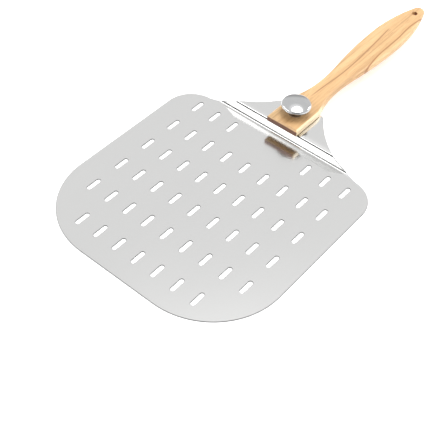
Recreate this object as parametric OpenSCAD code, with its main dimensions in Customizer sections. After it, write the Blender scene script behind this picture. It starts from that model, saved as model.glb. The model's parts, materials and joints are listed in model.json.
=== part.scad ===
// Folding pizza peel: a slotted sheet-steel blade with a raised tab at its back, and a
// wooden handle that turns on a bolt through the tab under a mushroom clamping knob.
// Millimetres. +Y runs from the blade towards the handle and +Z is up. The origin is
// on the surface that the blade lies on, below the middle of the whole length.
// Shapes are drawn about the pivot's axis and moved to their place by at_pivot().

/* [Blade] */
// Width of the blade
blade_w = 306; // [290:1:330]
// Length of the flat blade, from its front edge to the foot of the step
blade_l = 302.4; // [290:0.1:330]
// Radius of the two front corners
front_corner_r = 98; // [80:1:110]
// Radius of the two back corners
back_corner_r = 39; // [32:1:39]
// Thickness of the sheet
sheet_t = 1; // [0.8:0.1:1.2]

/* [Step and tab] */
// Height of the tab's top above the blade's top
step_h = 15.5; // [14:0.5:20]
// Inside radius of the two bends
bend_r = 2.5; // [2:0.25:3.5]
// Angle that each bend turns through
bend_a = 85; // [80:1:90]
// Distance from the foot of the step back to the pivot
pivot_back = 27.1; // [25:0.1:30]
// Distance from the pivot back to the tab's rear edge
tab_back = 26.5; // [22:0.5:28]
// Radius of the tab's two rear corners
tab_corner_r = 5; // [3:0.5:8]
// Radius of the hollow sides of the flat blank, from shoulder to tab
side_r = 156; // [155:1:158]
// Distance of the hollow sides' centres from the centre line
side_x = 159.7; // [159:0.1:161]
// Distance of the hollow sides' centres behind the foot, along the flat blank
side_run = 147.7; // [147:0.1:149]

/* [Slots] */
// Overall length of a slot
slot_l = 21; // [16:0.5:24]
// Width of a slot
slot_w = 5.6; // [4:0.1:7]
// Spacing of the columns, across the blade
slot_pitch_x = 29.25; // [27:0.25:30]
// Spacing of the rows, along the blade
slot_pitch_y = 48; // [44:1:48]
// Distance from the foot of the step to the middle of the first row
slot_first = 26.2; // [24:0.1:32]

/* [Handle] */
// Thickness of the wood
handle_t = 9.5; // [8:0.5:14]
// Width of the square front end
front_w = 46; // [40:1:48]
// Distance from the pivot forward to the front end
front_reach = 28.4; // [24:0.1:30]
// Distance from the pivot back to where the straight flanks end
flank_back = 22; // [18:1:30]
// Width at the neck
neck_w = 28; // [24:1:32]
// Distance from the pivot back to the neck
neck_back = 75; // [65:1:85]
// Greatest width of the grip
grip_w = 47; // [44:1:52]
// Distance from the pivot back to the grip's widest point
grip_back = 215; // [200:1:225]
// Share of the way from neck to widest point at which the hollow flank turns round
turn_share = 0.29; // [0.2:0.01:0.5]
// Distance from the pivot back to the tip
tip_back = 313; // [300:1:325]
// Radius of the tip
tip_r = 9; // [6:1:14]
// Bevel on the upper edge of the front end
front_bevel = 2.1; // [1:0.1:3]
// Bevel on the other end edges
bevel = 1; // [0.5:0.1:2]
// Diameter of the hanging hole
hang_d = 8; // [6:0.5:10]
// Distance from the pivot back to the hanging hole
hang_back = 293; // [285:1:295]
// Countersink of the hanging hole
hang_sink = 0.8; // [0.4:0.1:1.5]

/* [Pivot] */
// Diameter of the bolt
bolt_d = 6; // [5:0.5:8]
// Radial clearance of what turns on the bolt
running_gap = 0.05; // [0.02:0.01:0.1]
// Diameter of the bolt's head
head_d = 16; // [14:0.5:18]
// Height of the bolt's head
head_h = 3; // [2.5:0.1:4]
// Width across the flats of the bolt's square neck
square_w = 6.5; // [6.5:0.1:8.5]
// Length of thread above the handle's washer
thread_l = 12; // [9:0.5:13]
// Outside diameter of the bush
bush_d = 9; // [8.5:0.5:12]
// Outside diameter of the friction washer
friction_d = 22; // [18:1:26]
// Thickness of the friction washer
friction_t = 0.5; // [0.3:0.1:1]
// Outside diameter of the cover washer
cover_d = 20; // [16:0.5:20]
// Thickness of the cover washer
cover_t = 1.6; // [1:0.1:2]
// Outside diameter of the spring washer
spring_d = 11.8; // [11:0.1:12]
// Thickness of the spring washer
spring_t = 1.6; // [1:0.1:2]
// Width of the split in the spring washer
spring_split = 1; // [0.6:0.1:2]

/* [Knob] */
// Diameter of the cap
knob_d = 38.5; // [36:0.5:42]
// Height of the cap's crown above the middle of its rim
crown_h = 6; // [4:0.5:7]
// Radius of the rounded rim
rim_r = 3; // [1.5:0.1:3.5]
// Height of the stem, from the cover washer to the underside of the cap
stem_h = 8; // [7:0.5:12]
// Diameter of the stem's foot
foot_d = 21.5; // [20.5:0.5:23]
// Height of the stem's foot
foot_h = 1.6; // [1:0.1:2]
// Diameter of the stem's waist
waist_d = 16.6; // [15:0.2:18]
// Thickness of the cap's metal
cap_t = 0.8; // [0.5:0.1:1]
// Outside diameter of the threaded insert
insert_d = 9; // [8:0.5:10]
// Radius of the opening under the cap
lip_in_r = 15.5; // [14:0.5:16]

/* [Hidden] */
$fn = 96;

steel = [0.85, 0.85, 0.85];
bolt_steel = [0.62, 0.63, 0.65];
chrome = [0.78, 0.79, 0.8];
fibre = [0.22, 0.2, 0.18];
beech = [0.95, 0.8, 0.58];
brass = [0.8, 0.65, 0.35];

// A cutter's overshoot past the surface that it cuts
over = 1;

// Lengthwise places, measured from the pivot
foot_y = -pivot_back;
blade_front_y = foot_y - blade_l;
shoulder_y = foot_y - 2;
pivot_y = (-blade_front_y - tip_back) / 2;

// Heights above the surface that the blade lies on
tab_z = step_h;
wood_z = tab_z + sheet_t + friction_t;
wood_top = wood_z + handle_t;
knob_z = wood_top + cover_t;
rim_z = knob_z + stem_h + rim_r;
crown_z = rim_z + crown_h;

// The bends and the riser, measured along the middle of the sheet
mid_r = bend_r + sheet_t / 2;
bend_run = mid_r * PI * bend_a / 180;
riser_run = (step_h - 2 * mid_r * (1 - cos(bend_a))) / sin(bend_a);
tab_run = 2 * bend_run + riser_run;
tab_y = foot_y + 2 * mid_r * sin(bend_a) + riser_run * cos(bend_a);

// The handle's flanks: a front hollow, then a hollow and a swell that meet smoothly,
// then an ogive that meets the round tip smoothly
front_drop = (front_w - neck_w) / 2;
front_hollow_l = neck_back - flank_back;
front_hollow_r = (pow(front_hollow_l, 2) + pow(front_drop, 2)) / (2 * front_drop);
swell_l = grip_back - neck_back;
swell_rise = (grip_w - neck_w) / 2;
swell_sum_r = (pow(swell_l, 2) + pow(swell_rise, 2)) / (2 * swell_rise);
back_hollow_r = turn_share * swell_sum_r;
swell_r = swell_sum_r - back_hollow_r;
swell_angle = asin(swell_l / swell_sum_r);
ogive_l = tip_back - tip_r - grip_back;
ogive_r = (pow(grip_w / 2, 2) + pow(ogive_l, 2) - pow(tip_r, 2)) / (grip_w - 2 * tip_r);
ogive_angle = atan2(ogive_l, ogive_r - grip_w / 2);

// The cap's crown, a sphere that meets the rounded rim smoothly
rim_mid_r = knob_d / 2 - rim_r;
crown_r = (pow(rim_mid_r, 2) + pow(crown_h, 2) - pow(rim_r, 2)) / (2 * (crown_h - rim_r));

// The columns that each row has, from the handle's end to the front
slot_rows = [[-4, -3, -2, 2, 3, 4],
             [-4 : 4],
             [-4 : 4],
             [-4 : 4],
             [-4 : 4],
             [-3 : 3]];

// Points along an arc from angle a to angle b, in n steps
function arc(centre, r, a, b, n) =
    [for (i = [0 : n]) centre + r * [cos(a + (b - a) * i / n), sin(a + (b - a) * i / n)]];

// Half width of the flat blank at a distance s behind the foot of the step
function blank_half(s) = side_x - sqrt(pow(side_r, 2) - pow(s - side_run, 2));

function mirrored(points) =
    concat(points, [for (i = [len(points) - 1 : -1 : 0]) [-points[i].x, points[i].y]]);

module at_pivot() {
    translate([0, pivot_y, 0]) children();
}

module ring(outer_d, inner_d, h) {
    difference() {
        cylinder(h = h, d = outer_d);
        translate([0, 0, -over]) cylinder(h = h + 2 * over, d = inner_d);
    }
}

// ---- Blade -----------------------------------------------------------------

// The sheet seen from its side, as [y, z]
module sheet_profile() {
    outer_r = bend_r + sheet_t;
    bend_steps = 16;
    lower = [foot_y, sheet_t + bend_r];
    upper = [tab_y, tab_z - bend_r];
    underside = concat([[blade_front_y, 0]],
                       arc(lower, outer_r, -90, bend_a - 90, bend_steps),
                       arc(upper, bend_r, bend_a + 90, 90, bend_steps),
                       [[tab_back, tab_z]]);
    top = concat([[tab_back, tab_z + sheet_t]],
                 arc(upper, outer_r, 90, bend_a + 90, bend_steps),
                 arc(lower, bend_r, bend_a - 90, -90, bend_steps),
                 [[blade_front_y, sheet_t]]);
    polygon(concat(underside, top));
}

module corner_pair(r, y) {
    for (side = [-1, 1]) {
        translate([side * (blade_w / 2 - r), y]) circle(r = r, $fn = 180);
    }
}

module blade_plan() {
    side_l = shoulder_y - blade_front_y - front_corner_r - back_corner_r;
    translate([-blade_w / 2, blade_front_y + front_corner_r]) square([blade_w, side_l]);
    translate([front_corner_r - blade_w / 2, blade_front_y])
        square([blade_w - 2 * front_corner_r, front_corner_r]);
    translate([back_corner_r - blade_w / 2, shoulder_y - back_corner_r])
        square([blade_w - 2 * back_corner_r, back_corner_r]);
    corner_pair(front_corner_r, blade_front_y + front_corner_r);
    corner_pair(back_corner_r, shoulder_y - back_corner_r);
}

// The shoulder, the bends and the tab seen from above
module tab_plan() {
    side_centre = [side_x, tab_y + side_run - tab_run];
    corner_y = tab_back - tab_corner_r;
    corner_x = side_x - sqrt(pow(side_r + tab_corner_r, 2) - pow(corner_y - side_centre.y, 2));
    to_corner = [corner_x, corner_y] - side_centre;
    corner_angle = atan2(to_corner.y, to_corner.x) + 180;
    flank_end_y = side_centre.y + side_r * to_corner.y / norm(to_corner);
    flank_steps = 16;
    shoulder = [for (s = [shoulder_y - foot_y : 1 : 0]) [blank_half(s), foot_y + s]];
    lower_bend = [for (share = [1 / 6, 1 / 3, 1 / 2])
        [blank_half(bend_run * share), foot_y + mid_r * sin(bend_a * share)]];
    upper_bend = [for (share = [1 / 2, 1 / 3, 1 / 6])
        [blank_half(tab_run - bend_run * share), tab_y - mid_r * sin(bend_a * share)]];
    behind_riser = [[blank_half(bend_run / 2), tab_y - mid_r * sin(bend_a / 2)]];
    flank = [for (i = [0 : flank_steps])
        let (y = tab_y + (flank_end_y - tab_y) * i / flank_steps)
            [blank_half(tab_run + y - tab_y), y]];
    corner = arc([corner_x, corner_y], tab_corner_r, corner_angle, 90, 6);
    inside = [[blank_half(shoulder_y - foot_y), shoulder_y - over]];
    polygon(mirrored(concat(inside, shoulder, lower_bend, behind_riser, upper_bend, flank, corner)));
}

// The riser seen from the front, as [x, z]; below half of the lower bend and above
// half of the upper bend it leaves the outline to the plan
module riser_outline() {
    low_z = sheet_t / 2 + mid_r;
    high_z = step_h + sheet_t / 2 - mid_r;
    riser_z = low_z - mid_r * cos(bend_a);
    riser_steps = 8;
    below = [[blade_w / 2 + over, -over],
             [blade_w / 2 + over, low_z - mid_r * cos(bend_a / 2)]];
    lower_bend = [for (share = [1 / 2, 2 / 3, 5 / 6])
        [blank_half(bend_run * share), low_z - mid_r * cos(bend_a * share)]];
    riser = [for (share = [0 : 1 / riser_steps : 1])
        [blank_half(bend_run + riser_run * share), riser_z + riser_run * share * sin(bend_a)]];
    upper_bend = [for (share = [5 / 6, 2 / 3, 1 / 2])
        [blank_half(tab_run - bend_run * share), high_z + mid_r * cos(bend_a * share)]];
    above = [[blank_half(tab_run - bend_run / 2), step_h + sheet_t + over]];
    polygon(mirrored(concat(below, lower_bend, riser, upper_bend, above)));
}

module slot() {
    straight = slot_l - slot_w;
    square([slot_w, straight], center = true);
    for (end = [-1, 1]) {
        translate([0, end * straight / 2]) circle(d = slot_w, $fn = 48);
    }
}

module blade() {
    color(steel) at_pivot() difference() {
        intersection() {
            rotate([90, 0, 90]) linear_extrude(height = blade_w + 2 * over, center = true)
                sheet_profile();
            translate([0, 0, -over]) linear_extrude(height = step_h + sheet_t + 2 * over) {
                blade_plan();
                tab_plan();
            }
            translate([0, tab_back + over, 0]) rotate([90, 0, 0])
                linear_extrude(height = tab_back - blade_front_y + 2 * over) riser_outline();
        }
        translate([0, 0, -over]) linear_extrude(height = sheet_t + 2 * over)
            for (row = [0 : len(slot_rows) - 1]) {
                for (column = slot_rows[row]) {
                    translate([column * slot_pitch_x, foot_y - slot_first - row * slot_pitch_y])
                        slot();
                }
            }
        translate([0, 0, tab_z + sheet_t / 2])
            cube([square_w + 2 * running_gap, square_w + 2 * running_gap, 2 * sheet_t], center = true);
    }
}

// ---- Pivot -----------------------------------------------------------------

// A coach bolt: domed head under the tab, square neck through it, thread up to the knob
module pivot_bolt() {
    head_r = (pow(head_d / 2, 2) + pow(head_h, 2)) / (2 * head_h);
    end_bevel = 0.8;
    end_z = knob_z + thread_l;
    color(bolt_steel) at_pivot() {
        intersection() {
            translate([0, 0, tab_z - head_h + head_r]) sphere(r = head_r);
            translate([0, 0, tab_z - head_h - over]) cylinder(h = head_h + over, d = head_d);
        }
        translate([-square_w / 2, -square_w / 2, tab_z]) cube([square_w, square_w, wood_z - tab_z]);
        translate([0, 0, tab_z]) cylinder(h = end_z - end_bevel - tab_z, d = bolt_d);
        translate([0, 0, end_z - end_bevel])
            cylinder(h = end_bevel, d1 = bolt_d, d2 = bolt_d - 2 * end_bevel);
    }
}

module friction_washer() {
    square_across = square_w * sqrt(2) + 2 * running_gap;
    color(fibre) at_pivot() translate([0, 0, tab_z + sheet_t])
        ring(friction_d, square_across, friction_t);
}

module cover_washer() {
    color(bolt_steel) at_pivot() translate([0, 0, wood_top])
        ring(cover_d, bolt_d + 2 * running_gap, cover_t);
}

module spring_washer() {
    color(bolt_steel) at_pivot() translate([0, 0, knob_z]) difference() {
        ring(spring_d, bolt_d + 2 * running_gap, spring_t);
        translate([0, -spring_split / 2, -over])
            cube([spring_d, spring_split, spring_t + 2 * over]);
    }
}

// ---- Handle ----------------------------------------------------------------

module handle_plan() {
    front = [[front_w / 2, -front_reach]];
    front_hollow = arc([neck_w / 2 + front_hollow_r, neck_back], front_hollow_r,
                       180 + asin(front_hollow_l / front_hollow_r), 180, 8);
    back_hollow = arc([neck_w / 2 + back_hollow_r, neck_back], back_hollow_r,
                      180, 180 - swell_angle, 6);
    swell = arc([grip_w / 2 - swell_r, grip_back], swell_r, -swell_angle, 0, 10);
    ogive = arc([grip_w / 2 - ogive_r, grip_back], ogive_r, 0, ogive_angle, 12);
    tip = arc([0, tip_back - tip_r], tip_r, ogive_angle, 90, 6);
    polygon(mirrored(concat(front, front_hollow, back_hollow, swell, ogive, tip)));
}

// The handle seen from its side, as [y, z], with its end edges bevelled
module handle_side() {
    polygon([[-front_reach, wood_z + bevel], [bevel - front_reach, wood_z],
             [tip_back - bevel, wood_z], [tip_back, wood_z + bevel],
             [tip_back, wood_top - bevel], [tip_back - bevel, wood_top],
             [front_bevel - front_reach, wood_top], [-front_reach, wood_top - front_bevel]]);
}

module hang_hole() {
    translate([0, hang_back, wood_z]) {
        translate([0, 0, -over]) cylinder(h = handle_t + 2 * over, d = hang_d);
        translate([0, 0, handle_t - hang_sink])
            cylinder(h = hang_sink + over, d1 = hang_d, d2 = hang_d + 2 * (hang_sink + over));
        translate([0, 0, -over])
            cylinder(h = hang_sink + over, d1 = hang_d + 2 * (hang_sink + over), d2 = hang_d);
    }
}

module handle() {
    color(beech) at_pivot() difference() {
        intersection() {
            translate([0, 0, wood_z]) linear_extrude(height = handle_t) handle_plan();
            rotate([90, 0, 90]) linear_extrude(height = grip_w + 2 * over, center = true)
                handle_side();
        }
        translate([0, 0, wood_z - over]) cylinder(h = handle_t + 2 * over, d = bush_d);
        hang_hole();
    }
}

module handle_bush() {
    color(bolt_steel) at_pivot() translate([0, 0, wood_z])
        ring(bush_d, bolt_d + 2 * running_gap, handle_t);
}

// ---- Knob ------------------------------------------------------------------

// Half of the cap's section as [r, z], drawn inset below its outer surface
module cap_section(inset) {
    intersection() {
        translate([0, crown_z - crown_r]) circle(r = crown_r - inset, $fn = 240);
        translate([0, rim_z]) square([rim_mid_r, crown_h]);
    }
    translate([rim_mid_r, rim_z]) circle(r = rim_r - inset, $fn = 48);
    translate([0, rim_z - rim_r + inset]) square([rim_mid_r, rim_r - inset]);
}

module knob_cap() {
    color(chrome) at_pivot() rotate_extrude($fn = 144) difference() {
        cap_section(0);
        cap_section(cap_t);
        translate([0, rim_z - rim_r - over]) square([lip_in_r, over + cap_t + 0.01]);
    }
}

// The stem with its foot and waist, a plate held inside the cap, and the boss
module knob_core() {
    seat_d = spring_d + 0.8;
    plate_z = rim_z - rim_r + cap_t;
    plate_t = 2 * (rim_r - cap_t);
    boss_h = (crown_h - rim_r) / 3;
    boss_wall = 2.5;
    stem_top_r = lip_in_r - running_gap;
    flare_r = plate_z - knob_z - foot_h;
    neck = [[foot_d / 2, knob_z], [foot_d / 2, knob_z + foot_h]];
    flare = arc([waist_d / 2 + flare_r, knob_z + foot_h], flare_r, 180, 105, 8);
    color(chrome) at_pivot() difference() {
        union() {
            rotate_extrude($fn = 144) intersection() {
                polygon(concat([[0, knob_z]], neck, flare, [[stem_top_r, plate_z], [0, plate_z]]));
                translate([0, knob_z]) square([stem_top_r, plate_z - knob_z]);
            }
            translate([0, 0, plate_z]) cylinder(h = plate_t, r = rim_mid_r, $fn = 144);
            translate([0, 0, plate_z + plate_t])
                cylinder(h = boss_h, d = insert_d + 2 * boss_wall);
        }
        translate([0, 0, knob_z - over]) cylinder(h = plate_z + plate_t + boss_h, d = insert_d);
        translate([0, 0, knob_z - over]) cylinder(h = spring_t + over, d = seat_d);
    }
}

// The threaded insert, drawn at the thread's outside diameter
module knob_insert() {
    insert_h = rim_z - knob_z - spring_t + 2;
    color(brass) at_pivot() translate([0, 0, knob_z + spring_t])
        ring(insert_d, bolt_d + 2 * running_gap, insert_h);
}

blade();
pivot_bolt();
friction_washer();
handle();
handle_bush();
cover_washer();
spring_washer();
knob_insert();
knob_core();
knob_cap();
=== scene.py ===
"""The looks of a folding pizza peel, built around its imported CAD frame.

Everything is in metres, in the CAD frame: +Y runs from the blade towards the handle, +Z is
up, and the origin is on the surface that the blade lies on.
"""

import json
import math

import bpy
from mathutils import Matrix, Vector
from mathutils.geometry import delaunay_2d_cdt

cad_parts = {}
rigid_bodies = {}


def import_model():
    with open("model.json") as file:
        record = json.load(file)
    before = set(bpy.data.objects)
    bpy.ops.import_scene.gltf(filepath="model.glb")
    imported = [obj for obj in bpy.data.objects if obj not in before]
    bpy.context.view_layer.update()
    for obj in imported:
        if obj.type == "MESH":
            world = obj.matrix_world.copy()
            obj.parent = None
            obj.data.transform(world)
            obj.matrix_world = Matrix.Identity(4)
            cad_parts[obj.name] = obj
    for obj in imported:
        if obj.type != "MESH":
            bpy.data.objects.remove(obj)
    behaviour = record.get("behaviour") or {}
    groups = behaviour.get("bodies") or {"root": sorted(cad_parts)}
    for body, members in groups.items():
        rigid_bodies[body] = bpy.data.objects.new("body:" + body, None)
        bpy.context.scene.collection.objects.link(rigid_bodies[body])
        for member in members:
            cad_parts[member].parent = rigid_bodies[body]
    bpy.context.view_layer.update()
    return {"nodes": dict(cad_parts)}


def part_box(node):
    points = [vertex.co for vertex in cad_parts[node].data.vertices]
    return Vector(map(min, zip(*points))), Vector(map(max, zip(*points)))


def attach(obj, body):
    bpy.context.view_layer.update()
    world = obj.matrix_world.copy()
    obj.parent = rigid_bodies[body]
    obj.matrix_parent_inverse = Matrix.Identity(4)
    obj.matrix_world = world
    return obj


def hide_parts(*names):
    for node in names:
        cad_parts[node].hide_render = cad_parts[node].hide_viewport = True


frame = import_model()

# ---- Places taken from the frame ---------------------------------------------------------

blade_low, blade_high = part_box("blade")
bolt_low, bolt_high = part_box("pivot_bolt")
wood_low, wood_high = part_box("handle")
core_low, core_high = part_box("knob_core")
cap_low, cap_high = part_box("knob_cap")
spring_low, spring_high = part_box("spring_washer")
pivot_y = (bolt_low.y + bolt_high.y) / 2

# ---- Driving dimensions, the same as the CAD model's -------------------------------------

SHEET_T = 0.001
BEND_R = 0.0025
BEND_A = math.radians(85)
PIVOT_BACK = 0.0271
SHOULDER_BACK = 0.002
FRONT_CORNER_R = 0.098
BACK_CORNER_R = 0.039
TAB_CORNER_R = 0.005
SIDE_R = 0.156
SIDE_X = 0.1597
SIDE_RUN = 0.1477
SQUARE_HOLE = 0.0066

SLOT_L = 0.021
SLOT_W = 0.0056
SLOT_PITCH_X = 0.02925
SLOT_PITCH_Y = 0.048
SLOT_FIRST = 0.0262
# The columns that have a slot, for each row from the foot of the step to the front
SLOT_ROWS = [(-4, -3, -2, 2, 3, 4)] + [range(-4, 5)] * 4 + [range(-3, 4)]

FRONT_W = 0.046
FLANK_BACK = 0.022
FRONT_BEVEL = 0.0021
NECK_W = 0.028
NECK_BACK = 0.075
GRIP_W = 0.047
GRIP_BACK = 0.215
TURN_SHARE = 0.29
TIP_R = 0.009
BUSH_D = 0.009
HANG_D = 0.008
HANG_BACK = 0.293

CROWN_H = 0.006
RIM_R = 0.003
CAP_T = 0.0008
LIP_IN_R = 0.0155
FOOT_D = 0.0215
FOOT_H = 0.0016
WAIST_D = 0.0166
FLARE_END = math.radians(105)
SPRING_T = 0.0016
INSERT_D = 0.009
BOSS_WALL = 0.0025

# ---- Edges that only the visual model rounds ---------------------------------------------

SHEET_EDGE_R = 0.0003
SQUARE_CORNER_R = 0.0005
FRONT_EDGE_R = 0.001
GRIP_EDGE_R = 0.0036
BUSH_EDGE_R = 0.0002
HANG_EDGE_R = 0.0009
FOOT_EDGE_R = 0.0003

# ---- The bent sheet, whose runs are measured along it from the foot of the step -----------

foot_y = pivot_y - PIVOT_BACK
step_h = blade_high.z - SHEET_T
mid_r = BEND_R + SHEET_T / 2
bend_run = mid_r * BEND_A
riser_run = (step_h - 2 * mid_r * (1 - math.cos(BEND_A))) / math.sin(BEND_A)
tab_run = 2 * bend_run + riser_run
tab_y = foot_y + 2 * mid_r * math.sin(BEND_A) + riser_run * math.cos(BEND_A)
tab_end = tab_run + blade_high.y - tab_y


# ---- Camera ------------------------------------------------------------------------------

CAMERA_AIM = Vector((0.0194, -0.1705, 0))
CAMERA_DISTANCE = 1.0712
CAMERA_AZIMUTH = 36.9
CAMERA_ELEVATION = 47.4
CAMERA_ROLL = math.radians(3.82)
CAMERA_LENS = 75.44


def direction(azimuth, elevation):
    """The direction away from the peel at an azimuth and an elevation, in degrees.

    Azimuth 0 is in front of the blade, and 90 is to its right.
    """
    a, e = math.radians(azimuth), math.radians(elevation)
    return Vector((math.sin(a) * math.cos(e), -math.cos(a) * math.cos(e), math.sin(e)))


def make_camera():
    """The camera at the photograph's viewing angle, a little rolled."""
    back = direction(CAMERA_AZIMUTH, CAMERA_ELEVATION)
    level = direction(CAMERA_AZIMUTH + 90, 0)
    right = level * math.cos(CAMERA_ROLL) + back.cross(level) * math.sin(CAMERA_ROLL)
    turn = Matrix((right, back.cross(right), back)).transposed().to_4x4()
    data = bpy.data.cameras.new("camera")
    data.lens = CAMERA_LENS
    data.sensor_width = 36
    camera = bpy.data.objects.new("camera", data)
    camera.matrix_world = Matrix.Translation(CAMERA_AIM + back * CAMERA_DISTANCE) @ turn
    bpy.context.scene.collection.objects.link(camera)
    bpy.context.scene.camera = camera


# ---- Mesh tools --------------------------------------------------------------------------


def arc(centre, r, start, end, steps):
    """Points (x, y) along an arc, from one angle to another, both ends included."""
    angles = [start + (end - start) * i / steps for i in range(steps + 1)]
    return [(centre[0] + r * math.cos(a), centre[1] + r * math.sin(a)) for a in angles]


def without_repeats(points):
    """The points of a closed outline, less those that fall on the one before them."""
    least = 1e-6
    kept = []
    for i, point in enumerate(points):
        if (Vector(point) - Vector(points[i - 1])).length > least:
            kept.append(point)
    return kept


def mirrored(half):
    """A closed outline from its right half, which runs from one end to the other."""
    return without_repeats(list(half) + [(-x, y) for x, y in reversed(half)])


def outward_offsets(outline):
    """For each corner of an outline that runs anticlockwise, the outward step of unit offset."""
    steps = []
    count = len(outline)
    for i in range(count):
        before = Vector(outline[i]) - Vector(outline[i - 1])
        after = Vector(outline[(i + 1) % count]) - Vector(outline[i])
        first = Vector((before.y, -before.x)).normalized()
        second = Vector((after.y, -after.x)).normalized()
        steps.append((first + second) / (1 + first.dot(second)))
    return steps


def round_edge(r, steps):
    """A rounded edge as (inset, drop) points, from a plate's flat face to its side."""
    angles = [math.pi / 2 * i / steps for i in range(steps + 1)]
    return [(r * (1 - math.sin(a)), r * (1 - math.cos(a))) for a in angles]


def bevelled_edge(leg, steps):
    """An edge cut off at 45 degrees, as (inset, drop) points."""
    return [(leg * (1 - i / steps), leg * i / steps) for i in range(steps + 1)]


def edge_profile(top, bottom, half_t):
    """A plate's whole edge as (inset, height) points, from its top flat to its bottom flat.

    It begins and ends a little way in on the flats, which keeps their shading flat.
    """
    support = 1.15
    down = [(top[0][0] * support, half_t)] + [(inset, half_t - drop) for inset, drop in top]
    up = [(bottom[0][0] * support, -half_t)] + [(inset, drop - half_t) for inset, drop in bottom]
    return down + up[::-1]


def mesh_object(name, vertices, faces, sharp_angle=math.radians(40)):
    """A smooth-shaded mesh object whose edges stay sharp past an angle."""
    mesh = bpy.data.meshes.new(name)
    mesh.from_pydata(vertices, [], faces)
    mesh.validate()
    mesh.shade_smooth()
    mesh.set_sharp_from_angle(angle=sharp_angle)
    thing = bpy.data.objects.new(name, mesh)
    bpy.context.scene.collection.objects.link(thing)
    return thing


def worked_edge(outline, edge, half_t, place, hole, vertices, faces):
    """Adds a plate's edge along one outline, as rings of points from its top to its bottom.

    It returns the points at which the flats begin, and the numbers of the first vertices of the
    uppermost and the lowest ring.
    """
    outward = outward_offsets(outline)
    into_plate = 1 if hole else -1
    profiles = [edge_profile(*edge(p), half_t) for p in outline]
    levels, count, first = len(profiles[0]), len(outline), len(vertices)
    flat = []
    for level in range(levels):
        for point, step, profile in zip(outline, outward, profiles):
            inset, height = profile[level]
            moved = Vector(point) + into_plate * step * inset
            vertices.append(place(moved.x, moved.y, height))
            if level == 0:
                flat.append(Vector((moved.x, moved.y)))
    for level in range(levels - 1):
        for i in range(count):
            j = (i + 1) % count
            a, b = first + level * count + i, first + level * count + j
            quad = (a, a + count, b + count, b)
            faces.append(quad[::-1] if hole else quad)
    return flat, first, first + (levels - 1) * count


def rounded_plate(name, outlines, edges, half_t, place, flats, lines=(), edge_slot=0):
    """A plate with worked edges. The first outline is its rim, and the others are its holes.

    Outlines run anticlockwise. edges holds one function of a point for each outline, which
    gives the upper and the lower edge there. flats is a list of further points on the flats,
    and lines are pairs of indices of the rim's points that an edge joins. place turns a point
    on the flat plate, with its height above the middle, into its place. edge_slot is the number
    of the material that the faces of the edges take.
    """
    vertices, faces = [], []
    flat_points, flat_edges, rings = [], [], []
    for number, (outline, edge) in enumerate(zip(outlines, edges)):
        flat, high, low = worked_edge(outline, edge, half_t, place, number > 0, vertices, faces)
        start, count = len(flat_points), len(flat)
        rings.append((start, count, high, low))
        flat_points += flat
        flat_edges += [(start + i, start + (i + 1) % count) for i in range(count)]
    edge_points, edge_faces = len(flat_points), len(faces)
    filled = delaunay_2d_cdt(flat_points + flats, flat_edges + list(lines), [], 1, 1e-9)
    found, _, triangles, sources = filled[:4]
    top, bottom = {}, {}
    for index, origin in enumerate(sources):
        rim = [o for o in origin if o < edge_points]
        if rim:
            start, _, high, low = next(r for r in rings if r[0] <= rim[0] < r[0] + r[1])
            top[index] = high + rim[0] - start
            bottom[index] = low + rim[0] - start
        else:
            top[index] = len(vertices)
            vertices.append(place(found[index].x, found[index].y, half_t))
            bottom[index] = len(vertices)
            vertices.append(place(found[index].x, found[index].y, -half_t))
    holes = [flat_points[start:start + count] for start, count, _, _ in rings[1:]]
    for triangle in triangles:
        middle = sum((found[i] for i in triangle), Vector((0, 0))) / len(triangle)
        if any(inside(middle, hole) for hole in holes):
            continue
        faces.append([top[i] for i in triangle])
        faces.append([bottom[i] for i in reversed(triangle)])
    plate = mesh_object(name, vertices, faces)
    for face in plate.data.polygons[:edge_faces]:
        face.material_index = edge_slot
    return plate


def lattice(outline, gap, start, columns, rows, clear, blocked):
    """Points of a grid that lie inside an outline, clear of it, and where blocked isn't true.

    gap is the grid's spacing across and along. Its first row is at start, and it has the same
    number of columns on either side of the middle one.
    """
    rim = [Vector(p) for p in outline]
    kept = []
    for column in range(-columns, columns + 1):
        for row in range(rows):
            point = Vector((column * gap[0], start + row * gap[1]))
            near = min((point - p).length for p in rim) < clear
            if inside(point, rim) and not near and not blocked(point):
                kept.append(point)
    return kept


def inside(point, outline):
    """Whether a point lies inside a closed outline."""
    odd = False
    for i in range(len(outline)):
        a, b = outline[i - 1], outline[i]
        if (a.y > point.y) != (b.y > point.y):
            if point.x < a.x + (point.y - a.y) * (b.x - a.x) / (b.y - a.y):
                odd = not odd
    return odd


def lathe(name, outline, sharp_angle):
    """A solid of revolution about the pivot, from a closed section of (radius, height) points."""
    segments = 128
    on_axis = 1e-7
    vertices, faces, rows = [], [], []
    for r, z in outline:
        if r < on_axis:
            rows.append([len(vertices)] * segments)
            vertices.append((0, pivot_y, z))
        else:
            rows.append(list(range(len(vertices), len(vertices) + segments)))
            for i in range(segments):
                a = 2 * math.pi * i / segments
                vertices.append((r * math.cos(a), pivot_y + r * math.sin(a), z))
    for k in range(len(rows)):
        upper, lower = rows[k - 1], rows[k]
        for i in range(segments):
            j = (i + 1) % segments
            corners = [upper[i], upper[j], lower[j], lower[i]]
            face = [c for n, c in enumerate(corners) if c != corners[n - 1]]
            if len(face) > 2:
                faces.append(face)
    return mesh_object(name, vertices, faces, sharp_angle)


# ---- Blade -------------------------------------------------------------------------------


def blank_half(s):
    """Half width of the flat blank behind the shoulder, at a distance s behind the foot."""
    return SIDE_X - math.sqrt(SIDE_R ** 2 - (s - SIDE_RUN) ** 2)


def bend_stations():
    """Distances behind the foot at which the blank has rows of points, through both bends."""
    steps = 8
    lower = [bend_run * i / steps for i in range(steps + 1)]
    riser = [bend_run + riser_run * i / 3 for i in (1, 2)]
    upper = [bend_run + riser_run + bend_run * i / steps for i in range(steps + 1)]
    return lower + riser + upper


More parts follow.
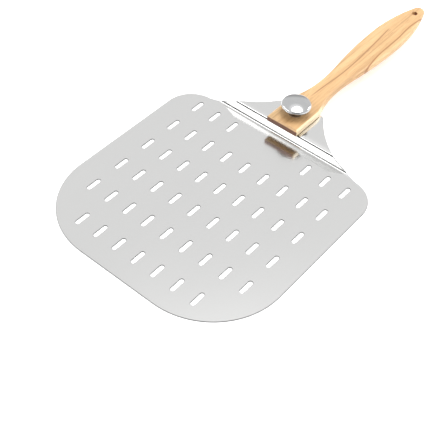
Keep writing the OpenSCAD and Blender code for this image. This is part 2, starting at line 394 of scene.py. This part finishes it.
def blank_outline():
    """The flat blank's outline as (x, s), and the index pairs that join its sides at the bends."""
    half_w = blade_high.x
    front_s = blade_low.y - foot_y
    front = arc((half_w - FRONT_CORNER_R, front_s + FRONT_CORNER_R), FRONT_CORNER_R,
                -math.pi / 2, 0, 40)
    back_x = half_w - BACK_CORNER_R
    shoulder = math.acos((blank_half(-SHOULDER_BACK) - back_x) / BACK_CORNER_R)
    back = arc((back_x, -SHOULDER_BACK - BACK_CORNER_R), BACK_CORNER_R, 0, shoulder, 24)
    bends = [(blank_half(s), s) for s in bend_stations()]
    corner_s = tab_end - TAB_CORNER_R
    corner_x = SIDE_X - math.sqrt((SIDE_R + TAB_CORNER_R) ** 2 - (corner_s - SIDE_RUN) ** 2)
    to_corner = Vector((corner_x - SIDE_X, corner_s - SIDE_RUN))
    corner_angle = math.atan2(to_corner.y, to_corner.x) + math.pi
    flank_end = SIDE_RUN + to_corner.y * SIDE_R / to_corner.length
    flank_steps = 12
    flank = [(blank_half(s), s) for s in
             [tab_run + (flank_end - tab_run) * i / flank_steps for i in range(1, flank_steps)]]
    if corner_angle > math.pi:
        corner_angle -= 2 * math.pi
    corner = arc((corner_x, corner_s), TAB_CORNER_R, corner_angle, math.pi / 2, 10)
    half = front + back[1:] + bends + flank + corner
    first = len(front) + len(back) - 1
    last = 2 * len(half) - 1
    pairs = [(first + i, last - first - i) for i in range(len(bends))]
    return half + [(-x, s) for x, s in reversed(half)], pairs


def slot_outline(x, s):
    """A slot with round ends, centred on a point of the flat blank."""
    reach = (SLOT_L - SLOT_W) / 2
    ends = arc((x, s + reach), SLOT_W / 2, 0, math.pi, 12)
    return ends + arc((x, s - reach), SLOT_W / 2, math.pi, 2 * math.pi, 12)


def square_outline(x, s, half, corner):
    """A square with round corners, centred on a point of the flat blank."""
    points = []
    for number, (across, along) in enumerate(((1, 1), (-1, 1), (-1, -1), (1, -1))):
        centre = (x + across * (half - corner), s + along * (half - corner))
        points += arc(centre, corner, number * math.pi / 2, (number + 1) * math.pi / 2, 4)
    return points


def bent(x, s, height):
    """The place of a point of the flat blank once the sheet is bent up into step and tab."""
    foot_z = SHEET_T / 2
    tab_z = step_h + foot_z
    if s <= 0:
        return (x, foot_y + s, foot_z + height)
    if s <= bend_run:
        a = s / mid_r
        return (x, foot_y + (mid_r - height) * math.sin(a),
                foot_z + mid_r - (mid_r - height) * math.cos(a))
    if s <= bend_run + riser_run:
        along = s - bend_run
        y = foot_y + (mid_r - height) * math.sin(BEND_A) + along * math.cos(BEND_A)
        z = foot_z + mid_r - (mid_r - height) * math.cos(BEND_A) + along * math.sin(BEND_A)
        return (x, y, z)
    if s <= tab_run:
        a = (tab_run - s) / mid_r
        return (x, tab_y - (mid_r + height) * math.sin(a),
                tab_z - mid_r + (mid_r + height) * math.cos(a))
    return (x, tab_y + s - tab_run, tab_z + height)


def make_blade():
    """The slotted blade, cut flat and then bent."""
    edge = round_edge(SHEET_EDGE_R, 3)
    outline, pairs = blank_outline()
    holes = [slot_outline(column * SLOT_PITCH_X, -SLOT_FIRST - row * SLOT_PITCH_Y)
             for row, columns in enumerate(SLOT_ROWS) for column in columns]
    hole_s = tab_run + pivot_y - tab_y
    holes.append(square_outline(0, hole_s, SQUARE_HOLE / 2, SQUARE_CORNER_R))
    clear = 0.003

    def blocked(point):
        """Whether a point is in a bend, in the square hole or in a slot, or too near to it."""
        bends = 0 < point.y < tab_run + clear
        squared = max(abs(point.x), abs(point.y - hole_s)) < SQUARE_HOLE / 2 + clear / 2
        slotted = any(abs(point.x - column * SLOT_PITCH_X) < SLOT_W / 2 + clear / 2
                      and abs(point.y + SLOT_FIRST + row * SLOT_PITCH_Y) < SLOT_L / 2 + clear / 2
                      for row, columns in enumerate(SLOT_ROWS) for column in columns)
        return bends or squared or slotted

    gap, first_row = 0.008, -0.2995
    columns, rows = 18, 45
    flats = lattice(outline, (gap, gap), first_row, columns, rows, clear, blocked)
    edges = [lambda point: (edge, edge)] * (1 + len(holes))
    blade = rounded_plate("blade_sheet", [outline] + holes, edges, SHEET_T / 2, bent,
                          flats, pairs, edge_slot=1)
    blade.data.materials.append(steel_material())
    blade.data.materials.append(cut_steel_material())
    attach(blade, "blade_body")
    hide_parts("blade")
    return blade


# ---- Handle ------------------------------------------------------------------------------


def handle_outline():
    """The handle's outline as (x, distance behind the pivot)."""
    front_back = wood_low.y - pivot_y
    tip_back = wood_high.y - pivot_y
    front_drop = (FRONT_W - NECK_W) / 2
    front_l = NECK_BACK - FLANK_BACK
    front_r = (front_l ** 2 + front_drop ** 2) / (2 * front_drop)
    swell_l = GRIP_BACK - NECK_BACK
    rise = (GRIP_W - NECK_W) / 2
    sum_r = (swell_l ** 2 + rise ** 2) / (2 * rise)
    hollow_r = TURN_SHARE * sum_r
    swell_r = sum_r - hollow_r
    swell_angle = math.asin(swell_l / sum_r)
    ogive_l = tip_back - TIP_R - GRIP_BACK
    ogive_r = ((GRIP_W / 2) ** 2 + ogive_l ** 2 - TIP_R ** 2) / (GRIP_W - 2 * TIP_R)
    ogive_angle = math.atan2(ogive_l, ogive_r - GRIP_W / 2)
    straight_gap, straight_points = 0.006, 8
    front = [(FRONT_W / 2, front_back + straight_gap * i) for i in range(straight_points)]
    front += arc((NECK_W / 2 + front_r, NECK_BACK), front_r,
                 math.pi + math.asin(front_l / front_r), math.pi, 16)
    back = arc((NECK_W / 2 + hollow_r, NECK_BACK), hollow_r, math.pi, math.pi - swell_angle, 12)
    swell = arc((GRIP_W / 2 - swell_r, GRIP_BACK), swell_r, -swell_angle, 0, 24)
    ogive = arc((GRIP_W / 2 - ogive_r, GRIP_BACK), ogive_r, 0, ogive_angle, 24)
    tip = arc((0, tip_back - TIP_R), TIP_R, ogive_angle, math.pi / 2, 16)
    return mirrored(front + back + swell + ogive + tip)


def smooth_step(value, low, high):
    """0 below low, 1 above high, and an even S curve between."""
    t = min(1, max(0, (value - low) / (high - low)))
    return t * t * (3 - 2 * t)


def handle_edge(point):
    """The wood's upper and lower edges: bevelled round the front end, well rounded on the grip."""
    steps = 6
    bevel_end, round_start = 0.02, 0.09
    share = smooth_step(point[1], bevel_end, round_start)
    bevel = bevelled_edge(FRONT_BEVEL, steps)
    rounded = round_edge(GRIP_EDGE_R, steps)
    upper = [(a + (c - a) * share, b + (d - b) * share) for (a, b), (c, d) in zip(bevel, rounded)]
    return upper, round_edge(FRONT_EDGE_R + (GRIP_EDGE_R - FRONT_EDGE_R) * share, steps)


def make_handle():
    """The wooden handle, with soft edges, a bore for the bush and a hanging hole."""
    outline = handle_outline()
    half_t = (wood_high.z - wood_low.z) / 2
    middle_z = (wood_high.z + wood_low.z) / 2
    bore = arc((0, 0), BUSH_D / 2, 0, 2 * math.pi, 48)[:-1]
    hang = arc((0, HANG_BACK), HANG_D / 2, 0, 2 * math.pi, 40)[:-1]
    hole_clear = 0.007

    def bored(point):
        """Whether a point is in the bore or the hanging hole, or too near to it."""
        return any((point - Vector((0, back))).length < hole_clear for back in (0, HANG_BACK))

    def place(x, back, height):
        """The place of a point of the plate, given by its distance behind the pivot."""
        return (x, pivot_y + back, middle_z + height)

    across_gap, along_gap, first_row = 0.0062, 0.0065, -0.026
    columns, rows = 3, 54
    flats = lattice(outline, (across_gap, along_gap), first_row, columns, rows, along_gap, bored)
    bore_edge, hang_edge = round_edge(BUSH_EDGE_R, 2), round_edge(HANG_EDGE_R, 4)
    edges = [handle_edge, lambda point: (bore_edge, bore_edge), lambda point: (hang_edge, hang_edge)]
    handle = rounded_plate("handle_grip", [outline, bore, hang], edges, half_t, place, flats)
    handle.data.materials.append(wood_material())
    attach(handle, "handle_body")
    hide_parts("handle")


# ---- Knob --------------------------------------------------------------------------------


def cap_outline():
    """The cap's closed section as (radius, height): crown, rolled rim, lip and inner wall."""
    rim_mid_r = cap_high.x - RIM_R
    rim_z = cap_low.z + RIM_R
    crown_r = (rim_mid_r ** 2 + CROWN_H ** 2 - RIM_R ** 2) / (2 * (CROWN_H - RIM_R))
    centre_z = cap_high.z - crown_r
    slope = math.atan2(rim_mid_r, rim_z - centre_z)
    outer = arc((0, centre_z), crown_r, math.pi / 2, math.pi / 2 - slope, 28)
    rim = arc((rim_mid_r, rim_z), RIM_R, math.pi / 2 - slope, -math.pi / 2, 24)
    lip = [(LIP_IN_R, cap_low.z), (LIP_IN_R, cap_low.z + CAP_T)]
    inner_rim = arc((rim_mid_r, rim_z), RIM_R - CAP_T, -math.pi / 2, math.pi / 2 - slope, 12)
    inner = arc((0, centre_z), crown_r - CAP_T, math.pi / 2 - slope, math.pi / 2, 14)
    return outer + rim[1:] + lip + inner_rim + inner[1:]


def core_outline():
    """The stem's closed section: foot, waist, flare under the cap, plate, boss and bore."""
    rim_z = cap_low.z + RIM_R
    plate_z = cap_low.z + CAP_T
    plate_t = 2 * (RIM_R - CAP_T)
    press_gap, seat_gap = 0.00005, 0.0004
    stem_top_r = LIP_IN_R - press_gap
    flare_r = plate_z - core_low.z - FOOT_H
    seat_r = (spring_high.x - spring_low.x) / 2 + seat_gap
    boss_r = INSERT_D / 2 + BOSS_WALL
    soft_r = FOOT_D / 2 - FOOT_EDGE_R
    foot = arc((soft_r, core_low.z + FOOT_EDGE_R), FOOT_EDGE_R, -math.pi / 2, 0, 4)
    foot += arc((soft_r, core_low.z + FOOT_H - FOOT_EDGE_R), FOOT_EDGE_R, 0, math.pi / 2, 4)
    flare = arc((WAIST_D / 2 + flare_r, core_low.z + FOOT_H), flare_r, math.pi, FLARE_END, 20)
    top = [(stem_top_r, plate_z), (cap_high.x - RIM_R, plate_z),
           (cap_high.x - RIM_R, plate_z + plate_t), (boss_r, plate_z + plate_t),
           (boss_r, core_high.z), (INSERT_D / 2, core_high.z)]
    seat = [(INSERT_D / 2, core_low.z + SPRING_T), (seat_r, core_low.z + SPRING_T),
            (seat_r, core_low.z)]
    return foot + flare + top + seat


def make_knob():
    """The chromed mushroom knob: a domed cap over a waisted stem."""
    chrome = chrome_material()
    sharp = math.radians(50)
    cap = lathe("knob_dome", cap_outline(), sharp)
    cap.data.materials.append(chrome)
    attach(cap, "knob_body")
    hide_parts("knob_cap")
    core = lathe("knob_stem", core_outline(), sharp)
    core.data.materials.append(chrome)
    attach(core, "knob_body")
    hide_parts("knob_core")


# ---- Materials ---------------------------------------------------------------------------


class Recipe:
    """A procedural material under construction, with short names for the nodes it uses."""

    def __init__(self, name):
        self.material = bpy.data.materials.new(name)
        self.material.use_nodes = True
        self.tree = self.material.node_tree
        self.shader = self.tree.nodes["Principled BSDF"]
        coordinates = self.tree.nodes.new("ShaderNodeTexCoord")
        self.place = coordinates.outputs["Object"]
        self.facing = coordinates.outputs["Normal"]

    def link(self, source, target):
        """Joins an output to an input."""
        self.tree.links.new(source, target)

    def stretched(self, scale, turn):
        """The object's coordinates, turned and scaled."""
        node = self.tree.nodes.new("ShaderNodeMapping")
        node.inputs["Rotation"].default_value = turn
        node.inputs["Scale"].default_value = scale
        self.link(self.place, node.inputs["Vector"])
        return node.outputs["Vector"]

    def noise(self, scale, detail=3, rough=0.5, distortion=0, turn=(0, 0, 0)):
        """Noise whose scale, in waves per metre, differs along X, Y and Z."""
        node = self.tree.nodes.new("ShaderNodeTexNoise")
        node.inputs["Scale"].default_value = 1
        node.inputs["Detail"].default_value = detail
        node.inputs["Roughness"].default_value = rough
        node.inputs["Distortion"].default_value = distortion
        self.link(self.stretched(scale, turn), node.inputs["Vector"])
        return node.outputs["Fac"]

    def math(self, operation, first, second=0.0):
        """An operation on two values, each a number or a socket."""
        node = self.tree.nodes.new("ShaderNodeMath")
        node.operation = operation
        for socket, value in zip(node.inputs, (first, second)):
            if isinstance(value, (int, float)):
                socket.default_value = value
            else:
                self.link(value, socket)
        return node.outputs[0]

    def remap(self, value, low, high, to_low=0.0, to_high=1.0):
        """A value moved along an S curve from one range to another, and held inside it.

        low may exceed high.
        """
        node = self.tree.nodes.new("ShaderNodeMapRange")
        node.interpolation_type = "SMOOTHSTEP"
        self.link(value, node.inputs["Value"])
        for name, number in (("From Min", low), ("From Max", high),
                             ("To Min", to_low), ("To Max", to_high)):
            node.inputs[name].default_value = number
        return node.outputs["Result"]

    def mix(self, share, first, second):
        """Two colours, each a tuple or a socket, mixed by a share."""
        node = self.tree.nodes.new("ShaderNodeMix")
        node.data_type = "RGBA"
        for socket, value in ((node.inputs[0], share), (node.inputs[6], first),
                              (node.inputs[7], second)):
            if isinstance(value, tuple):
                socket.default_value = (*value, 1)
            elif isinstance(value, (int, float)):
                socket.default_value = value
            else:
                self.link(value, socket)
        return node.outputs[2]

    def split(self, vector):
        """The X, Y and Z of a vector."""
        node = self.tree.nodes.new("ShaderNodeSeparateXYZ")
        self.link(vector, node.inputs[0])
        return node.outputs

    def bump(self, height, distance, strength=1.0, normal=None):
        """The surface's normal, tilted by a height map, on top of another such normal."""
        node = self.tree.nodes.new("ShaderNodeBump")
        node.inputs["Strength"].default_value = strength
        node.inputs["Distance"].default_value = distance
        self.link(height, node.inputs["Height"])
        if normal is not None:
            self.link(normal, node.inputs["Normal"])
        return node.outputs["Normal"]

    def finish(self, colour, roughness, normal, **numbers):
        """Joins up the shader. numbers are its other sockets, given by name."""
        self.link(colour, self.shader.inputs["Base Color"])
        self.link(roughness, self.shader.inputs["Roughness"])
        self.link(normal, self.shader.inputs["Normal"])
        for name, number in numbers.items():
            self.shader.inputs[name.replace("_", " ").title()].default_value = number
        return self.material


def steel_material():
    """Bright rolled stainless sheet: faint lines along its length, a few hairlines, and a painted
    dark reflection along the outside of the upper bend, which is found by its slope and height.
    """
    r = Recipe("bright_stainless")
    lines = r.noise((2600, 14, 300), detail=4, rough=0.7)
    clouds = r.noise((9, 7, 9), detail=3)
    scratches = []
    for turn, low in ((0.5, 0.735), (-0.9, 0.745), (1.35, 0.74)):
        field = r.noise((1700, 26, 200), detail=2, turn=(0, 0, turn))
        scratches.append(r.remap(field, low, low + 0.03))
    scratch = r.math("MAXIMUM", r.math("MAXIMUM", scratches[0], scratches[1]), scratches[2])
    darker, paler, palest = (0.73, 0.73, 0.725), (0.75, 0.75, 0.742), (0.76, 0.76, 0.755)
    scratched, painted_bend_reflection = (0.82, 0.82, 0.82), (0.15, 0.15, 0.15)
    tone = r.mix(clouds, darker, paler)
    tone = r.mix(r.remap(lines, 0.35, 0.7, 0, 0.5), tone, palest)
    tone = r.mix(r.math("MULTIPLY", scratch, 0.12), tone, scratched)
    # Painted reflection: the dark line at the upper bend stands in for dark surroundings mirrored
    # there.
    slope = r.split(r.facing)[2]
    bend = r.math("MULTIPLY", r.remap(slope, 0.28, 0.38), r.remap(slope, 0.72, 0.60))
    upper = r.remap(r.split(r.place)[2], step_h - 0.006, step_h - 0.005)
    tone = r.mix(r.math("MULTIPLY", bend, upper), tone, painted_bend_reflection)
    roughness = r.remap(lines, 0.3, 0.7, 0.13, 0.16)
    roughness = r.math("ADD", roughness, r.remap(clouds, 0.3, 0.7, -0.01, 0.015))
    normal = r.bump(clouds, 0.00005)
    normal = r.bump(lines, 0.0000004, normal=normal)
    normal = r.bump(scratch, 0.000001, 0.5, normal)
    return r.finish(tone, roughness, normal, metallic=1.0)


def cut_steel_material():
    """The sheet's cut edges: duller and finely scored through the thickness, and darkened with
    painted shade that stands in for the shadowed walls of the slots.
    """
    r = Recipe("cut_stainless_painted_shade")
    scores = r.noise((1800, 1800, 150), detail=3)
    # Painted shade: the edge tone is kept very dark for the shadow on the slot walls.
    tone = r.mix(r.remap(scores, 0.3, 0.7), (0.06, 0.06, 0.062), (0.15, 0.15, 0.15))
    roughness = r.remap(scores, 0.3, 0.7, 0.35, 0.5)
    return r.finish(tone, roughness, r.bump(scores, 0.00001), metallic=1.0)


def wood_material():
    """Pale lacquered beech: growth zones, fibres, pores, painted light on the block's right side,
    and end grain that is darker in itself and darker still with painted shade.
    """
    r = Recipe("lacquered_beech")
    x, y = r.split(r.place)[:2]
    back = r.math("SUBTRACT", y, pivot_y)
    fibres = r.noise((1400, 36, 1200), detail=3, rough=0.65)
    pores = r.remap(r.noise((800, 60, 700), detail=1), 0.66, 0.74)
    tone = growth_zones(r, x, back, fibres)
    tone = r.mix(r.math("MULTIPLY", pores, 0.6), tone, (0.36, 0.19, 0.08))
    facing_x, facing_y = r.split(r.facing)[:2]
    # Painted light: the right side of the front block is tinted pale, as if lit brightly from that
    # side.
    painted_lit_block_side = r.math("MULTIPLY", r.remap(facing_x, 0.5, 0.75), r.remap(back, 0.045, 0.022))
    tone = r.mix(r.math("MULTIPLY", painted_lit_block_side, 0.95), tone, (0.94, 0.75, 0.47))
    # End grain: darker in itself, and taken much darker still as painted shade on the handle's end
    # faces.
    end_grain_and_shade = r.remap(r.math("ABSOLUTE", facing_y), 0.8, 0.95)
    layers = r.noise((45, 45, 700), detail=4)
    shaded_end_grain_tone = r.mix(r.remap(layers, 0.35, 0.65), (0.075, 0.021, 0.006), (0.225, 0.076, 0.024))
    tone = r.mix(end_grain_and_shade, tone, shaded_end_grain_tone)
    roughness = r.remap(fibres, 0.3, 0.7, 0.42, 0.56)
    height = r.math("SUBTRACT", r.math("MULTIPLY", fibres, 0.5), pores)
    normal = r.bump(height, 0.00005)
    return r.finish(tone, roughness, normal, coat_weight=0.25, coat_roughness=0.28)


def growth_zones(r, x, back, fibres):
    """The wood's tone: paler left and right of two brown growth lines, with streaks and fibres."""
    plain, warm, pale = (0.625, 0.378, 0.172), (0.68, 0.426, 0.204), (0.69, 0.46, 0.227)
    streak_tone, fibre_tone = (0.42, 0.23, 0.09), (0.36, 0.20, 0.08)
    right_tone, middle_tone = (0.34, 0.15, 0.045), (0.30, 0.13, 0.04)
    from_right = r.math("SUBTRACT", x, right_growth_line(r, back))
    from_middle = r.math("SUBTRACT", x, middle_growth_line(r, back))
    tone = r.mix(r.remap(r.noise((40, 9, 40), detail=3), 0.3, 0.7), plain, warm)
    tone = r.mix(r.remap(from_middle, -0.012, 0.001, 0.75, 0), tone, pale)
    tone = r.mix(r.remap(from_right, 0, 0.0012, 0, 0.8), tone, pale)
    streaks = r.noise((260, 4, 120), detail=4, distortion=0.4)
    tone = r.mix(r.remap(streaks, 0.45, 0.7, 0, 0.65), tone, streak_tone)
    tone = r.mix(r.remap(fibres, 0.45, 0.72, 0, 0.48), tone, fibre_tone)
    right_line = r.remap(r.math("ABSOLUTE", from_right), 0.0004, 0.0015, 0.95, 0)
    right_line = r.math("MULTIPLY", right_line, r.remap(back, 0.095, 0.115))
    tone = r.mix(right_line, tone, right_tone)
    middle_line = r.remap(r.math("ABSOLUTE", from_middle), 0.0004, 0.0014, 0.8, 0)
    faded = r.math("MULTIPLY", r.remap(back, 0.03, 0.06), r.remap(back, 0.24, 0.228))
    return r.mix(r.math("MULTIPLY", middle_line, faded), tone, middle_tone)


def right_growth_line(r, back):
    """How far right the right line runs: in from the side, then straight, with one dip."""
    course = r.remap(back, 0.10, 0.185, 0.0225, 0.0141)
    from_dip = r.math("ABSOLUTE", r.math("SUBTRACT", back, 0.258))
    return r.math("SUBTRACT", course, r.remap(from_dip, 0.04, 0, 0, 0.0023))


def middle_growth_line(r, back):
    """How far right the middle line runs: a rise up to the neck, then a long fall."""
    rise = r.remap(back, 0.04, 0.115, -0.0035, -0.0001)
    return r.math("SUBTRACT", rise, r.remap(back, 0.11, 0.30, 0, 0.010))


def chrome_material():
    """Polished chrome plate with faint wiping marks, made duller below the cap's rim and darkened
    there with painted shade and a painted dark reflection, which also cover the stem.
    """
    r = Recipe("polished_chrome")
    wipes = r.noise((420, 60, 420), detail=3, turn=(0, 0, 0.7))
    haze = r.noise((90, 90, 90), detail=2)
    tone = r.mix(haze, (0.55, 0.555, 0.56), (0.59, 0.595, 0.60))
    height = r.split(r.place)[2]
    rim_z = cap_low.z + RIM_R
    # Painted shade and reflection: below the rim the chrome is tinted dark brown, standing in for
    # the shaded wood it would mirror, and made rougher.
    dull_painted_shade_under_rim = r.remap(height, rim_z, rim_z - 0.4 * RIM_R)
    tone = r.mix(dull_painted_shade_under_rim, tone, (0.14, 0.125, 0.11))
    roughness = r.remap(wipes, 0.35, 0.75, 0.05, 0.11)
    roughness = r.math("ADD", roughness, r.math("MULTIPLY", dull_painted_shade_under_rim, 0.2))
    normal = r.bump(wipes, 0.0000012)
    return r.finish(tone, roughness, normal, metallic=1.0)


def zinc_material():
    """Bright zinc plate, slightly clouded."""
    r = Recipe("zinc_plate")
    clouds = r.noise((260, 260, 260), detail=4)
    turned = r.noise((60, 60, 5200), detail=2)
    tone = r.mix(r.remap(clouds, 0.3, 0.7), (0.50, 0.51, 0.53), (0.66, 0.67, 0.68))
    roughness = r.remap(clouds, 0.3, 0.7, 0.26, 0.42)
    normal = r.bump(turned, 0.000004)
    return r.finish(tone, roughness, normal, metallic=1.0)


def fibre_material():
    """Dark pressed fibre with a matted face."""
    r = Recipe("pressed_fibre")
    mat = r.noise((700, 2600, 900), detail=4, distortion=1.5)
    tone = r.mix(r.remap(mat, 0.3, 0.7), (0.022, 0.018, 0.014), (0.07, 0.058, 0.045))
    roughness = r.remap(mat, 0.3, 0.7, 0.7, 0.9)
    return r.finish(tone, roughness, r.bump(mat, 0.00005))


def brass_material():
    """Turned brass."""
    r = Recipe("turned_brass")
    turned = r.noise((80, 80, 4200), detail=3)
    tone = r.mix(turned, (0.56, 0.40, 0.17), (0.70, 0.53, 0.25))
    roughness = r.remap(turned, 0.3, 0.7, 0.25, 0.4)
    return r.finish(tone, roughness, r.bump(turned, 0.000008), metallic=1.0)


def dress_cad_nodes():
    """Gives the fasteners that are shown as the CAD model draws them their materials."""
    zinc = zinc_material()
    finishes = {
        "pivot_bolt": zinc,
        "handle_bush": zinc,
        "cover_washer": zinc,
        "spring_washer": zinc,
        "friction_washer": fibre_material(),
        "knob_insert": brass_material(),
    }
    for node, material in finishes.items():
        for spot in frame["nodes"][node].material_slots:
            spot.material = material


# ---- Studio ------------------------------------------------------------------------------

WHITE = (1, 1, 1, 1)
SKY_TONE = 0.91
# Round patches of the sky: azimuth, elevation, radius of the full tone, outer radius, tone
SKY_PATCHES = (
    (205, 71, 9, 22, 1.3),
    (216.9, -8, 15, 34, 0.55),
    (-25, 4, 17, 23, 0.04),
    (36.9, 24, 22, 33, 0.32),
)
# Soft lights: name, shape, azimuth, elevation, distance, width, height, strength
SOFTBOXES = (
    ("overhead_box", "ELLIPSE", 192, 78, 6.0, 3.0, 3.5, 4.45),
    ("left_box", "RECTANGLE", -49, 38, 2.2, 2.3, 0.94, 2.4),
    ("right_box", "RECTANGLE", 155, 33, 2.2, 0.95, 0.85, 4.0),
)


def make_floor():
    """A plain pale disc under the peel."""
    radius, sides = 30.0, 96
    below = 0.0002
    ring = [(radius * math.cos(2 * math.pi * i / sides), radius * math.sin(2 * math.pi * i / sides),
             -below) for i in range(sides)]
    floor = mesh_object("floor", ring, [list(range(sides))])
    material = bpy.data.materials.new("pale_floor")
    material.use_nodes = True
    shader = material.node_tree.nodes["Principled BSDF"]
    grey, glow = 0.86, 0.35
    shader.inputs["Base Color"].default_value = (grey, grey, grey, 1)
    shader.inputs["Roughness"].default_value = 0.9
    shader.inputs["Specular IOR Level"].default_value = 0
    shader.inputs["Emission Color"].default_value = WHITE
    shader.inputs["Emission Strength"].default_value = glow
    floor.data.materials.append(material)


def make_sky():
    """A pale sky with brighter and darker patches for the metal, which the camera sees as white."""
    world = bpy.data.worlds.new("studio")
    bpy.context.scene.world = world
    world.use_nodes = True
    tree = world.node_tree
    place = tree.nodes.new("ShaderNodeTexCoord").outputs["Generated"]
    tone = (SKY_TONE, SKY_TONE, SKY_TONE, 1)
    for azimuth, elevation, inner, outer, patch_tone in SKY_PATCHES:
        towards = tree.nodes.new("ShaderNodeVectorMath")
        towards.operation = "DOT_PRODUCT"
        towards.inputs[1].default_value = direction(azimuth, elevation)
        tree.links.new(place, towards.inputs[0])
        share = tree.nodes.new("ShaderNodeMapRange")
        share.interpolation_type = "SMOOTHSTEP"
        share.inputs["From Min"].default_value = math.cos(math.radians(outer))
        share.inputs["From Max"].default_value = math.cos(math.radians(inner))
        tree.links.new(towards.outputs["Value"], share.inputs["Value"])
        tone = sky_mix(tree, share.outputs["Result"], tone, (patch_tone, patch_tone, patch_tone, 1))
    seen = tree.nodes.new("ShaderNodeLightPath").outputs["Is Camera Ray"]
    tone = sky_mix(tree, seen, tone, WHITE)
    tree.links.new(tone, tree.nodes["Background"].inputs["Color"])


def sky_mix(tree, share, first, second):
    """A colour or a socket mixed with a colour by a share."""
    node = tree.nodes.new("ShaderNodeMix")
    node.data_type = "RGBA"
    tree.links.new(share, node.inputs[0])
    if isinstance(first, tuple):
        node.inputs[6].default_value = first
    else:
        tree.links.new(first, node.inputs[6])
    node.inputs[7].default_value = second
    return node.outputs[2]


def make_softbox(name, shape, azimuth, elevation, distance, width, height, strength):
    """A soft light, placed by its direction from the object and turned to it.

    strength is its power for each square metre of width by height, divided by pi.
    """
    away = direction(azimuth, elevation)
    data = bpy.data.lights.new(name, "AREA")
    data.shape = shape
    data.size = width
    data.size_y = height
    data.energy = strength * math.pi * width * height
    light = bpy.data.objects.new(name, data)
    light.location = away * distance
    light.rotation_mode = "QUATERNION"
    light.rotation_quaternion = away.to_track_quat("Z", "Y")
    bpy.context.scene.collection.objects.link(light)
    return light


def keep_off(light, unlit):
    """Lets a light fall on every mesh but one."""
    lit = bpy.data.collections.new(light.name + "_lit")
    for thing in bpy.context.scene.objects:
        if thing.type == "MESH" and thing != unlit:
            lit.objects.link(thing)
    light.light_linking.receiver_collection = lit


def make_studio(blade):
    """The floor, the sky and the lights.

    The blade would mirror the overhead light as plain white when it is seen from above, so that
    light is kept off it.
    """
    make_floor()
    make_sky()
    lights = [make_softbox(*numbers) for numbers in SOFTBOXES]
    keep_off(lights[0], blade)
    bpy.context.scene.view_settings.view_transform = "Standard"


make_camera()
blade_sheet = make_blade()
make_handle()
make_knob()
dress_cad_nodes()
make_studio(blade_sheet)
